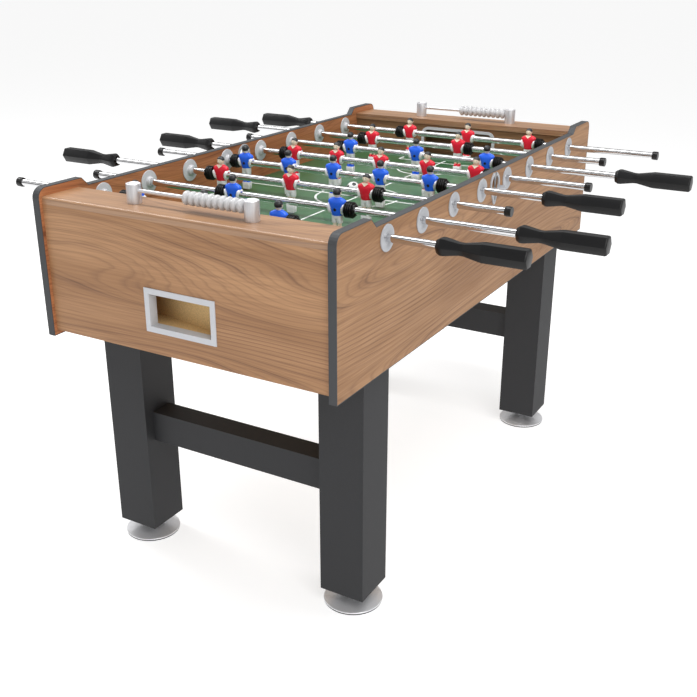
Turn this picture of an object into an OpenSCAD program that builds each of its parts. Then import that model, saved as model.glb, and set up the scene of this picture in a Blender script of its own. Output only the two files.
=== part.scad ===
// Eight-rod foosball table on four square legs.
// Frame: origin on the floor under the middle of the table, +Z up.
// X runs across the table along the rods, Y runs along the table.

/* [View] */
// Sub-part to draw

/* [Cabinet] */
// Overall length of the side panels
table_length = 1417; // [1180:1:1720]
// Overall width over the side panels
table_width = 719; // [590:1:870]
// Thickness of the side and end panels
panel_thickness = 17; // [12:0.5:24]
// Thickness of the edge banding round a side panel
banding_thickness = 1.5; // [0.8:0.1:2.5]
// Height of a side panel at its low middle edge
side_height = 301; // [260:1:360]
// Drop of the side panels under the bottom panel
side_drop = 12; // [0:1:25]
// Rise of the raised corner ears above the low edge
ear_rise = 18; // [8:1:30]
// Length of the flat top of an ear
ear_length = 124; // [60:1:180]
// Length of the slope beside an ear
ear_slope = 19; // [8:1:40]
// Radius of an ear's outer corner
ear_radius = 22; // [6:1:30]
// Setback of the end panels from the side panel ends
end_setback = 9; // [0:1:20]
// Depth of an end zone, from the goal wall's face to the end panel's face
end_zone = 99.5; // [80:0.5:130]
// Thickness of the bottom panel
bottom_thickness = 9; // [6:0.5:15]
// Thickness of the end top boards
cap_thickness = 15; // [10:0.5:20]
// Overhang of the end top boards past the goal walls
cap_overhang = 4.5; // [0:0.5:5.5]
// Radius on the front edge of the end top boards
cap_radius = 6; // [2:0.5:10]

/* [Playfield] */
// Thickness of the playing surface board
field_thickness = 8; // [5:0.5:15]
// Rod axis height above the playing surface
rod_height = 71.5; // [60:0.5:84]
// Thickness of the goal walls
goal_wall_thickness = 12; // [8:0.5:18]
// Width of the goal mouth
goal_width = 218; // [170:1:260]
// Gap between the goal frame's top and the end top board
goal_top_gap = 7; // [1:0.5:30]
// Corner radius of the goal mouth
goal_radius = 14; // [6:1:24]
// Width of the goal frame's face
goal_frame_width = 8; // [5:0.5:12]
// Thickness of the goal frame
goal_frame_depth = 4; // [2:0.5:5]

/* [Rods] */
// Diameter of a rod
rod_diameter = 15.88; // [12:0.01:18]
// Wall of the rod tube
rod_wall = 1.6; // [1:0.1:3]
// Depth of the rod axis under the low side edge
rod_drop = 30.5; // [29:0.5:45]
// Room left beside an end cap when a defence rod is pushed right in
cap_margin = 6.5; // [2:0.5:40]
// Room left beside a handle when a defence rod is pushed right in
handle_margin = 9.5; // [2:0.5:40]
// Running clearance of a rod in its bearings, on the radius
bearing_clearance = 0.06; // [0.02:0.01:0.1]

/* [Bearings] */
// Radius of a bearing's disc
bearing_radius = 26.5; // [20:0.5:28]
// Thickness of a bearing's disc
bearing_disc = 2.6; // [1.5:0.1:4]
// Radius of the sleeve through the side panel
sleeve_radius = 11.5; // [10.5:0.1:16]
// Projection of the inner collar past its disc
collar_length = 8; // [3:0.5:14]
// Radius of a bearing screw's head
screw_head_radius = 2.2; // [1.5:0.1:3]

/* [Men] */
// Sideways travel of a goal rod to either side
goalie_travel = 104.4; // [75:0.1:130]
// Sideways travel of a defence rod to either side
defence_travel = 155.4; // [120:0.1:190]
// Sideways travel of a midfield rod to either side
midfield_travel = 30.9; // [25:0.1:50]
// Sideways travel of an attack rod to either side
attack_travel = 89.9; // [60:0.1:120]
// Half the width of a man over the sleeves
man_half_width = 21.5; // [18:0.5:22]
// Clearance between a man's toe and the playing surface
toe_clearance = 4; // [2:0.5:8]
// Radius of a man's head
head_radius = 8.4; // [7:0.1:9.5]

/* [Handles and bumpers] */
// Length of a handle
handle_length = 174; // [110:1:180]
// Corner radius of a handle's six-sided barrel
handle_radius = 19.8; // [16:0.1:24]
// Radius of an end cap
end_cap_radius = 10.8; // [9.5:0.1:14]
// Length of an end cap
end_cap_length = 14; // [8:0.5:20]
// Radius of a bumper over its ribs
bumper_radius = 17; // [13:0.5:20]
// Length of a bumper
bumper_length = 22; // [14:0.5:26]
// Gap between a man and the bumper beside him
bumper_gap = 0.5; // [0.2:0.1:6]

/* [Legs and feet] */
// Side of a square leg
leg_size = 104.5; // [70:0.5:120]
// Length of a leg
leg_length = 536; // [440:1:640]
// Gap between a leg and the side panel beside it
leg_gap = 4.5; // [0:0.5:20]
// Distance from the side panel's end to a leg
leg_setback = 138; // [90:1:220]
// Height of a stretcher
stretcher_height = 72; // [40:1:100]
// Depth of a stretcher
stretcher_depth = 59; // [30:1:68]
// Height of a stretcher's underside above the leg's lower end
stretcher_rise = 229; // [100:1:330]
// Distance of a stretcher's outer face from the leg's outer face
stretcher_setback = 26.5; // [0:0.5:36]
// Height of a foot from the floor to the leg
foot_height = 39; // [28:0.5:60]
// Radius of a foot's disc
foot_radius = 65; // [35:0.5:70]
// Radius of a foot's threaded stem
stem_radius = 6; // [4:0.5:8]
// Length of the stem inside the leg
stem_length = 45; // [30:1:70]

/* [Ball return] */
// Width of the opening in the bezel
return_width = 150; // [100:1:170]
// Height of the opening in the bezel
return_height = 68; // [50:1:80]
// Height of the opening's middle above the bottom panel's underside
return_rise = 92.5; // [80:0.5:110]
// Width of the bezel's flange
bezel_flange = 12; // [6:0.5:18]
// Thickness of the bezel's flange
bezel_face = 2; // [1:0.5:2.5]
// Thickness of the tray's boards
tray_wall = 9; // [6:0.5:10]
// Clearance between a tray and the goal wall's line
tray_gap = 2; // [0:0.5:10]

/* [Ball entry] */
// Clearance of the ball in the entry hole, on the radius
entry_clearance = 2.5; // [1:0.1:3.5]
// Radius of the entry cup's ring
entry_ring = 26.5; // [24:0.5:28]
// Projection of the cup's lip from the panel
cup_lip = 26; // [15:0.5:35]

/* [Scorers] */
// Distance between the two posts of a scorer
scorer_span = 284; // [240:1:320]
// Radius of a post
post_radius = 15; // [10:0.5:18]
// Height of a post
post_height = 40; // [32:0.5:48]
// Radius of the bar
bar_radius = 4; // [3:0.1:5]
// Radius of a bead
bead_radius = 14; // [10:0.5:16]
// Pitch of the beads
bead_pitch = 14.2; // [10:0.1:15]

/* [Ball] */
// Radius of the ball
ball_radius = 17; // [15:0.5:18]

/* [Hidden] */
$fn = 48;

eps = 0.01;
slip = 0.05;
hl = table_length / 2;
hw = table_width / 2;
xi = hw - panel_thickness;
z_bottom = foot_height + leg_length;
z_side = z_bottom - side_drop;
z_low = z_side + side_height;
z_ear = z_low + ear_rise;
z_rod = z_low - rod_drop;
z_field = z_rod - rod_height;
y_end = hl - end_setback;
y_in = y_end - panel_thickness;
field_length = 2 * (y_end - end_zone);
rod_pitch = field_length / 8;
y_goal = field_length / 2;
cap_depth = end_zone + cap_overhang;
goal_height = z_low - cap_thickness - z_field - goal_frame_width
  - goal_top_gap;
entry_radius = ball_radius + entry_clearance;
toe_drop = rod_height - toe_clearance;
z_return = z_bottom + return_rise;
z_entry = z_rod + 1.5;
rod_r = rod_diameter / 2;
bore_r = rod_r + bearing_clearance;
leg_x = xi - leg_gap - leg_size / 2;
leg_y = hl - leg_setback - leg_size / 2;
sleeve_wall = 2;
sleeve_depth = panel_thickness + 2.5;
bar_z = z_low + post_height * 0.65;
scorer_y = y_end - 54;
bead_count = 10;

// Lengths of a rod from the middle of its men: to the far face of the
// end cap, and to the outer end of the handle.
rod_short = hw + bearing_disc + defence_travel + cap_margin
  + end_cap_length;
rod_long = hw + bearing_disc + defence_travel + handle_margin
  + handle_length;

// Spacing of n men that leaves their rod its travel to either side
// before a bumper meets a bearing.
bumper_stop = xi - bearing_disc - collar_length - bumper_length
  - bumper_gap - man_half_width;
function spacing(n, travel) = 2 * (bumper_stop - travel) / (n - 1);

// Rod by number: sideways rest position, side of the handle,
// number of men and their spacing.
rod_shift = [0, -63.5, 31.5, -48.5, -24.5, 24.5, 48.5, -31.5, 63.5];
rod_side = [0, 1, 1, -1, 1, -1, 1, -1, -1];
rod_men = [0, 3, 2, 3, 5, 5, 3, 2, 3];
rod_gap = [0, spacing(3, goalie_travel), spacing(2, defence_travel),
  spacing(3, attack_travel), spacing(5, midfield_travel),
  spacing(5, midfield_travel), spacing(3, attack_travel),
  spacing(2, defence_travel), spacing(3, goalie_travel)];

function rod_y(i) = (i - 4.5) * rod_pitch;
function man_x(i, k) = (k - (rod_men[i] - 1) / 2) * rod_gap[i];
function man_edge(i) = (rod_men[i] - 1) / 2 * rod_gap[i] + man_half_width;

// Places a rod's pieces: local X points from the men to the handle.
module on_rod(i) {
  translate([rod_shift[i], rod_y(i), z_rod])
    rotate([0, 0, rod_side[i] > 0 ? 0 : 180])
      children();
}

// A point on an ear's round corner, mirrored by the sign s.
function corner(s, d, a) =
  [s * (hl - ear_radius + (ear_radius - d) * cos(a)),
   z_ear - ear_radius + (ear_radius - d) * sin(a)];

// Outline of a side panel, drawn d inside its real edge.
slope_k = tan(atan2(ear_rise, ear_slope) / 2);
function outline(d) = concat(
  [[-hl + d, z_side + d], [hl - d, z_side + d]],
  [for (a = [0 : 15 : 90]) corner(1, d, a)],
  [[hl - ear_length + slope_k * d, z_ear - d],
   [hl - ear_length - ear_slope + slope_k * d, z_low - d],
   [-hl + ear_length + ear_slope - slope_k * d, z_low - d],
   [-hl + ear_length - slope_k * d, z_ear - d]],
  [for (a = [90 : -15 : 0]) corner(-1, d, a)]);

// Stands a drawing in Y and Z up as a plate that starts at x.
module plate_x(x, t) {
  translate([x, 0, 0])
    rotate([90, 0, 90])
      linear_extrude(height = t)
        children();
}

module side_panel(x) {
  color("Peru")
    difference() {
      plate_x(x, panel_thickness)
        polygon(outline(banding_thickness));
      for (i = [1 : 8])
        translate([x - 1, rod_y(i), z_rod])
          rotate([0, 90, 0])
            cylinder(r = sleeve_radius + slip, h = panel_thickness + 2);
      translate([x - 1, 0, z_entry])
        rotate([0, 90, 0])
          cylinder(r = entry_radius, h = panel_thickness + 2);
    }
}

module side_panel_left() {
  side_panel(-hw);
}

module side_panel_right() {
  side_panel(xi);
}

module edge_banding() {
  color("DimGray")
    for (x = [-hw, xi])
      difference() {
        plate_x(x, panel_thickness)
          polygon(outline(0));
        plate_x(x - 1, panel_thickness + 2)
          polygon(outline(banding_thickness));
      }
}

// Turns a piece of the front end round to the rear end.
module at_end(rear) {
  rotate([0, 0, rear ? 180 : 0])
    children();
}

module end_panel(rear) {
  ww = return_width + 2 * sleeve_wall + 2 * slip;
  wh = return_height + 2 * sleeve_wall + 2 * slip;
  color("Peru")
    at_end(rear)
      difference() {
        translate([-xi, -y_end, z_bottom])
          cube([2 * xi, panel_thickness, z_low - cap_thickness - z_bottom]);
        translate([-ww / 2, -y_end - 1, z_return - wh / 2])
          cube([ww, panel_thickness + 2, wh]);
      }
}

module end_panel_front() {
  end_panel(false);
}

module end_panel_rear() {
  end_panel(true);
}

module end_top_boards() {
  color("BurlyWood")
    for (rear = [false, true])
      at_end(rear)
        translate([-xi, -y_end, z_low - cap_thickness])
          union() {
            translate([0, cap_radius, 0])
              cube([2 * xi, cap_depth - cap_radius, cap_thickness]);
            cube([2 * xi, cap_radius, cap_thickness - cap_radius]);
            translate([0, cap_radius, cap_thickness - cap_radius])
              rotate([0, 90, 0])
                intersection() {
                  cylinder(r = cap_radius, h = 2 * xi);
                  translate([-cap_radius, -cap_radius, 0])
                    cube([cap_radius, cap_radius, 2 * xi]);
                }
          }
}

// Goal mouth outline, grown by g, standing on the playing surface.
module goal_shape(g) {
  w = goal_width / 2 + g;
  r = goal_radius + g;
  translate([0, z_field])
    union() {
      translate([-w, 0])
        square([2 * w, goal_height + g - r]);
      translate([-w + r, 0])
        square([2 * w - 2 * r, goal_height + g]);
      for (s = [-1, 1])
        translate([s * (w - r), goal_height + g - r])
          circle(r = r);
    }
}

// Stands a drawing in X and Z up as a plate from y outwards.
module plate_y(y, t) {
  translate([0, y + t, 0])
    rotate([90, 0, 0])
      linear_extrude(height = t)
        children();
}

module goal_walls() {
  color("SaddleBrown")
    for (rear = [false, true])
      at_end(rear)
        difference() {
          translate([-xi, -y_goal - goal_wall_thickness, z_field])
            cube([2 * xi, goal_wall_thickness,
              z_low - cap_thickness - z_field]);
          plate_y(-y_goal - goal_wall_thickness - 1,
            goal_wall_thickness + 2)
            union() {
              goal_shape(0);
              translate([-goal_width / 2, z_field - 2])
                square([goal_width, 4]);
            }
        }
}

module goal_frames() {
  color("Silver")
    for (rear = [false, true])
      at_end(rear)
        difference() {
          plate_y(-y_goal, goal_frame_depth)
            goal_shape(goal_frame_width);
          plate_y(-y_goal - 1, goal_frame_depth + 2)
            union() {
              goal_shape(0);
              translate([-goal_width / 2, z_field - 2])
                square([goal_width, 4]);
            }
        }
}

module playfield() {
  l = field_length + 2 * goal_wall_thickness;
  color("SeaGreen")
    translate([-xi, -l / 2, z_field - field_thickness])
      cube([2 * xi, l, field_thickness]);
}

// The two bolts of a leg stand on its diagonal.
bolt_offset = leg_size * 0.22;
bolt_r = 4;
module at_bolts() {
  for (sx = [-1, 1], sy = [-1, 1], k = [-1, 1])
    translate([sx * (leg_x + k * bolt_offset),
      sy * (leg_y + k * bolt_offset), z_bottom])
      children();
}

module bottom_panel() {
  color("Tan")
    difference() {
      translate([-xi, -y_in, z_bottom])
        cube([2 * xi, 2 * y_in, bottom_thickness]);
      at_bolts()
        translate([0, 0, -1])
          cylinder(r = bolt_r + slip, h = bottom_thickness + 2);
    }
}

module leg_bolts() {
  color("Gray")
    at_bolts()
      union() {
        translate([0, 0, -40])
          cylinder(r = bolt_r, h = 40 + bottom_thickness + 1);
        translate([0, 0, bottom_thickness])
          cylinder(r = 7.5, h = 5, $fn = 6);
      }
}

module legs() {
  color("DarkSlateGray")
    for (sx = [-1, 1], sy = [-1, 1])
      difference() {
        translate([sx * leg_x - leg_size / 2, sy * leg_y - leg_size / 2,
          foot_height])
          cube([leg_size, leg_size, leg_length]);
        translate([sx * leg_x, sy * leg_y, foot_height - 1])
          cylinder(r = stem_radius + slip, h = stem_length + 3);
        for (k = [-1, 1])
          translate([sx * (leg_x) + sx * k * bolt_offset,
            sy * leg_y + sy * k * bolt_offset, z_bottom - 42])
            cylinder(r = bolt_r + slip, h = 43);
      }
}

module stretchers() {
  w = 2 * (leg_x - leg_size / 2);
  y = leg_y + leg_size / 2 - stretcher_setback - stretcher_depth;
  color("DarkSlateGray")
    for (s = [-1, 1])
      translate([-w / 2, s > 0 ? y : -y - stretcher_depth,
        foot_height + stretcher_rise])
        cube([w, stretcher_depth, stretcher_height]);
}

module foot(sx, sy) {
  pad = 3.2;
  rim = 3;
  rise = 9;
  translate([sx * leg_x, sy * leg_y, 0]) {
    color("Black")
      cylinder(r = foot_radius - 0.8, h = pad);
    color("Silver")
      rotate_extrude()
        polygon([[0, pad], [foot_radius, pad], [foot_radius, pad + rim],
          [14, pad + rim + rise], [11, pad + rim + rise + 2],
          [11, foot_height], [stem_radius, foot_height],
          [stem_radius, foot_height + stem_length - 1.5],
          [stem_radius - 1.5, foot_height + stem_length],
          [0, foot_height + stem_length]]);
  }
}

module foot_1() {
  foot(-1, -1);
}

module foot_2() {
  foot(1, -1);
}

module foot_3() {
  foot(1, 1);
}

module foot_4() {
  foot(-1, 1);
}

// Repeats a piece at every bearing, drawn at the origin for the
// right side, with +Z pointing out of the table.
module at_bearings(x) {
  for (s = [-1, 1], i = [1 : 8])
    translate([s * x, rod_y(i), z_rod])
      rotate([0, s * 90, 0])
        children();
}

module rod_bearings_outer() {
  color("LightGray")
    at_bearings(hw)
      difference() {
        union() {
          cylinder(r = bearing_radius, h = bearing_disc);
          translate([0, 0, -panel_thickness])
            cylinder(r = sleeve_radius, h = panel_thickness + 1);
        }
        translate([0, 0, -panel_thickness - 1])
          cylinder(r = bore_r, h = panel_thickness + bearing_disc + 2);
      }
}

module rod_bearings_inner() {
  color("LightGray")
    at_bearings(xi)
      difference() {
        union() {
          translate([0, 0, -bearing_disc])
            cylinder(r = bearing_radius, h = bearing_disc);
          translate([0, 0, -bearing_disc - collar_length])
            cylinder(r1 = sleeve_radius - 1, r2 = sleeve_radius + 1,
              h = collar_length + 1);
        }
        translate([0, 0, -bearing_disc - collar_length - 1])
          cylinder(r = bore_r, h = bearing_disc + collar_length + 2);
      }
}

module bearing_screws() {
  color("Gray")
    at_bearings(hw + bearing_disc)
      for (a = [70, 250])
        rotate([0, 0, a])
          translate([sleeve_radius + 1.5, 0, 0])
            cylinder(r = screw_head_radius, h = 0.9, $fn = 24);
}

// Ring with a pointed lower plate, in Y and Z about the entry hole.
tip_drop = 43;
tip_radius = 6;
module cup_plate() {
  union() {
    circle(r = entry_ring);
    translate([0, -tip_drop])
      circle(r = tip_radius);
    polygon([[-entry_ring * 0.93, -entry_ring * 0.37],
      [entry_ring * 0.93, -entry_ring * 0.37],
      [tip_radius * 0.9, -tip_drop - tip_radius * 0.4],
      [-tip_radius * 0.9, -tip_drop - tip_radius * 0.4]]);
  }
}

module ball_entry_cups() {
  lip_r = entry_radius + 3;
  color("LightGray")
    for (s = [-1, 1])
      rotate([0, 0, s > 0 ? 0 : 180]) {
        // outer cup with its projecting lip
        difference() {
          union() {
            plate_x(hw, 3)
              translate([0, z_entry])
                cup_plate();
            translate([hw, 0, z_entry])
              intersection() {
                rotate([0, 90, 0])
                  cylinder(r = lip_r, h = cup_lip);
                translate([0, -40, -40])
                  cube([cup_lip, 80, 34]);
                scale([1, 1, 1])
                  translate([0, 0, -40])
                    cylinder(r = cup_lip, h = 80);
              }
          }
          translate([hw - 1, 0, z_entry])
            rotate([0, 90, 0])
              cylinder(r = entry_radius, h = cup_lip + 2);
          // countersink of the fixing screw
          translate([hw + 1.5, 0, z_entry - tip_drop])
            rotate([0, 90, 0])
              cylinder(r = 2.4, h = 3, $fn = 24);
        }
        // inner ring
        translate([xi - 2, 0, z_entry])
          rotate([0, 90, 0])
            difference() {
              cylinder(r = entry_ring, h = 2);
              translate([0, 0, -1])
                cylinder(r = entry_radius, h = 4);
            }
      }
}

module ball_return_bezels() {
  ow = return_width + 2 * bezel_flange;
  oh = return_height + 2 * bezel_flange;
  sw = return_width + 2 * sleeve_wall;
  sh = return_height + 2 * sleeve_wall;
  color("Silver")
    for (rear = [false, true])
      at_end(rear)
        translate([0, -y_end, z_return])
          difference() {
            union() {
              translate([-ow / 2, -bezel_face, -oh / 2])
                cube([ow, bezel_face, oh]);
              translate([-sw / 2, -bezel_face, -sh / 2])
                cube([sw, bezel_face + sleeve_depth, sh]);
            }
            translate([-return_width / 2, -bezel_face - 1,
              -return_height / 2])
              cube([return_width, bezel_face + sleeve_depth + 2,
                return_height]);
          }
}

// Tray behind an opening: its rear board stands at a slant, so
// the ball rolls to the front.
module ball_return_boxes() {
  h = return_height + 2 * tray_wall + 2;
  x0 = -return_width / 2 - 2 * sleeve_wall - 60;
  x1 = return_width / 2 + sleeve_wall + 3;
  y0 = -y_in;
  d0 = end_zone - panel_thickness - goal_wall_thickness - tray_wall
    - tray_gap;
  d1 = 17;
  color("BurlyWood")
    for (rear = [false, true])
      at_end(rear)
        translate([0, 0, z_return - return_height / 2 - tray_wall
          - sleeve_wall - 1])
          difference() {
            linear_extrude(height = h)
              polygon([[x0 - tray_wall, y0], [x1 + tray_wall, y0],
                [x1 + tray_wall, y0 + d1 + tray_wall],
                [x0 - tray_wall, y0 + d0 + tray_wall]]);
            translate([0, 0, tray_wall])
              linear_extrude(height = h)
                polygon([[x0, y0 - 1], [x1, y0 - 1], [x1, y0 + d1],
                  [x0, y0 + d0]]);
          }
}

module at_posts() {
  for (sy = [-1, 1], sx = [-1, 1])
    translate([sx * scorer_span / 2, sy * scorer_y, z_low])
      children();
}

module scorer_posts() {
  color("Silver")
    difference() {
      at_posts()
        rotate_extrude()
          polygon([[0, 0], [post_radius, 0],
            [post_radius, post_height - 1.5],
            [post_radius - 1.5, post_height],
            [post_radius - 3.5, post_height],
            [post_radius - 4.5, post_height - 1],
            [0, post_height - 1]]);
      for (sy = [-1, 1])
        translate([-scorer_span / 2 - 8, sy * scorer_y, bar_z])
          rotate([0, 90, 0])
            cylinder(r = bar_radius + slip, h = scorer_span + 16);
    }
}

module scorer_bars() {
  color("Silver")
    for (sy = [-1, 1])
      translate([-scorer_span / 2 - 8, sy * scorer_y, bar_z])
        rotate([0, 90, 0])
          cylinder(r = bar_radius, h = scorer_span + 16);
}

// Beads pushed against the right-hand post.
module beads(sy) {
  x1 = scorer_span / 2 - post_radius - 0.3;
  color("Gainsboro")
    for (k = [1 : bead_count])
      translate([x1 - k * bead_pitch, sy * scorer_y, bar_z])
        rotate([90, 0, 90])
          rotate_extrude()
            polygon([[bar_radius + slip, 0.05],
              [bead_radius * 0.62, 0.05],
              [bead_radius * 0.66, bead_pitch * 0.17],
              [bead_radius * 0.88, bead_pitch * 0.22],
              [bead_radius, bead_pitch * 0.38],
              [bead_radius, bead_pitch * 0.62],
              [bead_radius * 0.88, bead_pitch * 0.78],
              [bead_radius * 0.66, bead_pitch * 0.83],
              [bead_radius * 0.62, bead_pitch - 0.05],
              [bar_radius + slip, bead_pitch - 0.05]]);
}

module scorer_beads_front() {
  beads(-1);
}

module scorer_beads_rear() {
  beads(1);
}

module ball() {
  color("White")
    translate([-17, 8, z_field + ball_radius + 0.2])
      sphere(r = ball_radius);
}

// A rod: tube from inside its end cap to inside its handle.
module rod_bar(i) {
  color("Silver")
    on_rod(i)
      translate([-rod_short + 2, 0, 0])
        rotate([0, 90, 0])
          difference() {
            cylinder(r = rod_r, h = rod_short + rod_long - 14);
            translate([0, 0, -1])
              cylinder(r = rod_r - rod_wall, h = rod_short + rod_long);
          }
}

// A right-hand outline followed by its mirror image.
function mirrored(side) = concat(side,
  [for (k = [len(side) - 1 : -1 : 0]) [-side[k][0], side[k][1]]]);

// One man at the origin: rod axis along X, facing -Y.
module man() {
  w = man_half_width;
  t = toe_drop;
  difference() {
    union() {
      intersection() {
        plate_y(-20, 40)
          polygon(mirrored([[5, 25], [w - 4.5, 21.5], [w - 1.5, 17],
            [w, 8], [w, -9.5], [w - 5, -13], [w - 9.5, -14.5],
            [w - 9.5, -29.5], [w - 11.5, -30.5], [w - 12, -t + 18],
            [w - 11, -t + 17.5], [w - 11, -t]]));
        plate_x(-25, 50)
          polygon(mirrored([[5, 25], [8.5, 20], [10.8, 10], [11.2, -6],
            [9, -16], [9.2, -30], [6.8, -31], [6, -t + 19],
            [8, -t + 17], [7, -t]]));
      }
      translate([0, 0, 23])
        cylinder(r = 4.6, h = 7);
      translate([0, 0, 34])
        sphere(r = head_radius);
    }
    translate([-w - 5, 0, 0])
      rotate([0, 90, 0])
        cylinder(r = rod_r + slip, h = 2 * w + 10);
  }
}

// Blue men (handles on the right) face +Y, red men face -Y; both
// face -Y in their own rod's frame once it is turned round.
module men_row(i) {
  color(rod_side[i] > 0 ? "RoyalBlue" : "Crimson")
    on_rod(i)
      for (k = [0 : rod_men[i] - 1])
        translate([man_x(i, k), 0, 0])
          rotate([0, 0, 180])
            man();
}

// Six-sided grip with a flared collar and a waist, and the end cap.
module grip(i) {
  r = handle_radius;
  l = handle_length;
  color("Black")
    on_rod(i) {
      difference() {
        translate([rod_long - l, 0, 0])
          rotate([90, 0, 90])
            rotate_extrude($fn = 6)
              polygon([[0, 0], [r * 0.72, 0], [r * 0.91, l * 0.045],
                [r * 0.91, l * 0.08], [r * 0.64, l * 0.25],
                [r * 0.64, l * 0.31], [r, l * 0.58],
                [r, l - 3], [r - 2.5, l], [0, l]]);
        translate([rod_long - l - 1, 0, 0])
          rotate([0, 90, 0])
            cylinder(r = rod_r + slip, h = l + 1 - 11.9);
      }
      difference() {
        translate([-rod_short, 0, 0])
          rotate([0, 90, 0])
            cylinder(r = end_cap_radius, h = end_cap_length);
        translate([-rod_short + 2, 0, 0])
          rotate([0, 90, 0])
            cylinder(r = rod_r + slip, h = end_cap_length);
      }
    }
}

// Ribbed rubber bumper, drawn from the man's side outwards.
module bumper() {
  r = bumper_radius;
  p = bumper_length * 0.19;
  n = r * 0.78;
  b = rod_r + slip;
  rotate([90, 0, 90])
    rotate_extrude()
      polygon([[b, 0], [r, 0], [r, p * 0.72], [n, p * 0.76],
        [n, p * 0.96], [r, p], [r, p * 1.72], [n, p * 1.76],
        [n, p * 1.96], [r, p * 2], [r, p * 2.72], [n, p * 2.76],
        [n, p * 2.96], [r, p * 3], [r, p * 3.72], [n, p * 3.8],
        [r * 0.72, bumper_length], [b, bumper_length]]);
}

module bumper_pair(i) {
  color("Black")
    on_rod(i)
      for (a = [0, 180])
        rotate([0, 0, a])
          translate([man_edge(i) + bumper_gap, 0, 0])
            bumper();
}

module rod_1() { rod_bar(1); }
module men_1() { men_row(1); }
module handle_and_cap_1() { grip(1); }
module bumpers_1() { bumper_pair(1); }
module rod_2() { rod_bar(2); }
module men_2() { men_row(2); }
module handle_and_cap_2() { grip(2); }
module bumpers_2() { bumper_pair(2); }
module rod_3() { rod_bar(3); }
module men_3() { men_row(3); }
module handle_and_cap_3() { grip(3); }
module bumpers_3() { bumper_pair(3); }
module rod_4() { rod_bar(4); }
module men_4() { men_row(4); }
module handle_and_cap_4() { grip(4); }
module bumpers_4() { bumper_pair(4); }
module rod_5() { rod_bar(5); }
module men_5() { men_row(5); }
module handle_and_cap_5() { grip(5); }
module bumpers_5() { bumper_pair(5); }
module rod_6() { rod_bar(6); }
module men_6() { men_row(6); }
module handle_and_cap_6() { grip(6); }
module bumpers_6() { bumper_pair(6); }
module rod_7() { rod_bar(7); }
module men_7() { men_row(7); }
module handle_and_cap_7() { grip(7); }
module bumpers_7() { bumper_pair(7); }
module rod_8() { rod_bar(8); }
module men_8() { men_row(8); }
module handle_and_cap_8() { grip(8); }
module bumpers_8() { bumper_pair(8); }

side_panel_left();
side_panel_right();
edge_banding();
end_panel_front();
end_panel_rear();
end_top_boards();
goal_walls();
playfield();
bottom_panel();
goal_frames();
ball_return_boxes();
ball_return_bezels();
legs();
leg_bolts();
stretchers();
foot_1();
foot_2();
foot_3();
foot_4();
rod_bearings_outer();
rod_bearings_inner();
bearing_screws();
ball_entry_cups();
scorer_posts();
scorer_bars();
scorer_beads_front();
scorer_beads_rear();
ball();
rod_1();
men_1();
handle_and_cap_1();
bumpers_1();
rod_2();
men_2();
handle_and_cap_2();
bumpers_2();
rod_3();
men_3();
handle_and_cap_3();
bumpers_3();
rod_4();
men_4();
handle_and_cap_4();
bumpers_4();
rod_5();
men_5();
handle_and_cap_5();
bumpers_5();
rod_6();
men_6();
handle_and_cap_6();
bumpers_6();
rod_7();
men_7();
handle_and_cap_7();
bumpers_7();
rod_8();
men_8();
handle_and_cap_8();
bumpers_8();
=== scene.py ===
# %% [markdown]
# # A foosball table, built around its CAD frame
#
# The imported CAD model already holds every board, rod and foot at its true
# size. This lesson gives it its looks: woodgrain laminate, chrome, moulded
# plastic, a printed pitch and twenty-six little players. Every new piece is
# placed from the CAD nodes, so it always fits.

# %% Load the frame and keep its size
import math

import bmesh
import bpy
from mathutils import Matrix, Vector


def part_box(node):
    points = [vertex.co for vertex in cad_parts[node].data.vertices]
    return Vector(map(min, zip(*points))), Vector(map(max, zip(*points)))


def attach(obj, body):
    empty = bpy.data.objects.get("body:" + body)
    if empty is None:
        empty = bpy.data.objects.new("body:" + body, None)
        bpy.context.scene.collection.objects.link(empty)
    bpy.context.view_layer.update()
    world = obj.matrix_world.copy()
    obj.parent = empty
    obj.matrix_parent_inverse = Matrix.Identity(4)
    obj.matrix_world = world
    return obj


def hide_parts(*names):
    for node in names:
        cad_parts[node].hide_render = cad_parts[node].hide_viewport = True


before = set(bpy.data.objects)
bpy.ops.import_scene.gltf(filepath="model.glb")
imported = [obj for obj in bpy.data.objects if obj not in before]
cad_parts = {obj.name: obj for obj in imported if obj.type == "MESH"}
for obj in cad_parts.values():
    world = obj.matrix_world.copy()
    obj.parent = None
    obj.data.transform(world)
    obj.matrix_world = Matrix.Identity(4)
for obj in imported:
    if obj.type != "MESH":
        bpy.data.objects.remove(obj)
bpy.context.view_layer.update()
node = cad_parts

# %% [markdown]
# ## Camera
#
# The camera stands in front of the near right corner, a little above the
# handles, and looks down along the table. A lens of 50 mm on a 36 mm sensor
# gives the calm perspective of a catalogue picture. A camera looks along its
# own -Z, so it is first tipped up from the floor and then turned about Z.

# %% Place the camera
camera_data = bpy.data.cameras.new("camera")
camera_data.lens = 50.27
camera_data.sensor_width = 36
camera = bpy.data.objects.new("camera", camera_data)
bpy.context.scene.collection.objects.link(camera)
camera.location = (1.1736, -2.0752, 1.3210)
camera.rotation_euler = (math.radians(90 - 22.06), 0, math.radians(30.03))
bpy.context.scene.camera = camera
print("camera at", [round(c, 3) for c in camera.location])

# %% [markdown]
# ## Floor and light
#
# A pale floor and a plain sky give the studio look. The floor glows a little,
# as a light table does, so the shadows on it stay faint. The sky is dark at
# the horizon, bright in a ring above it and grey overhead: polished rods
# mirror those edges as the fine dark lines that make chrome look like chrome.
# A square soft lamp beside the camera shapes the forms, and a long strip lamp
# above the table draws one white line along every rod.

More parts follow.
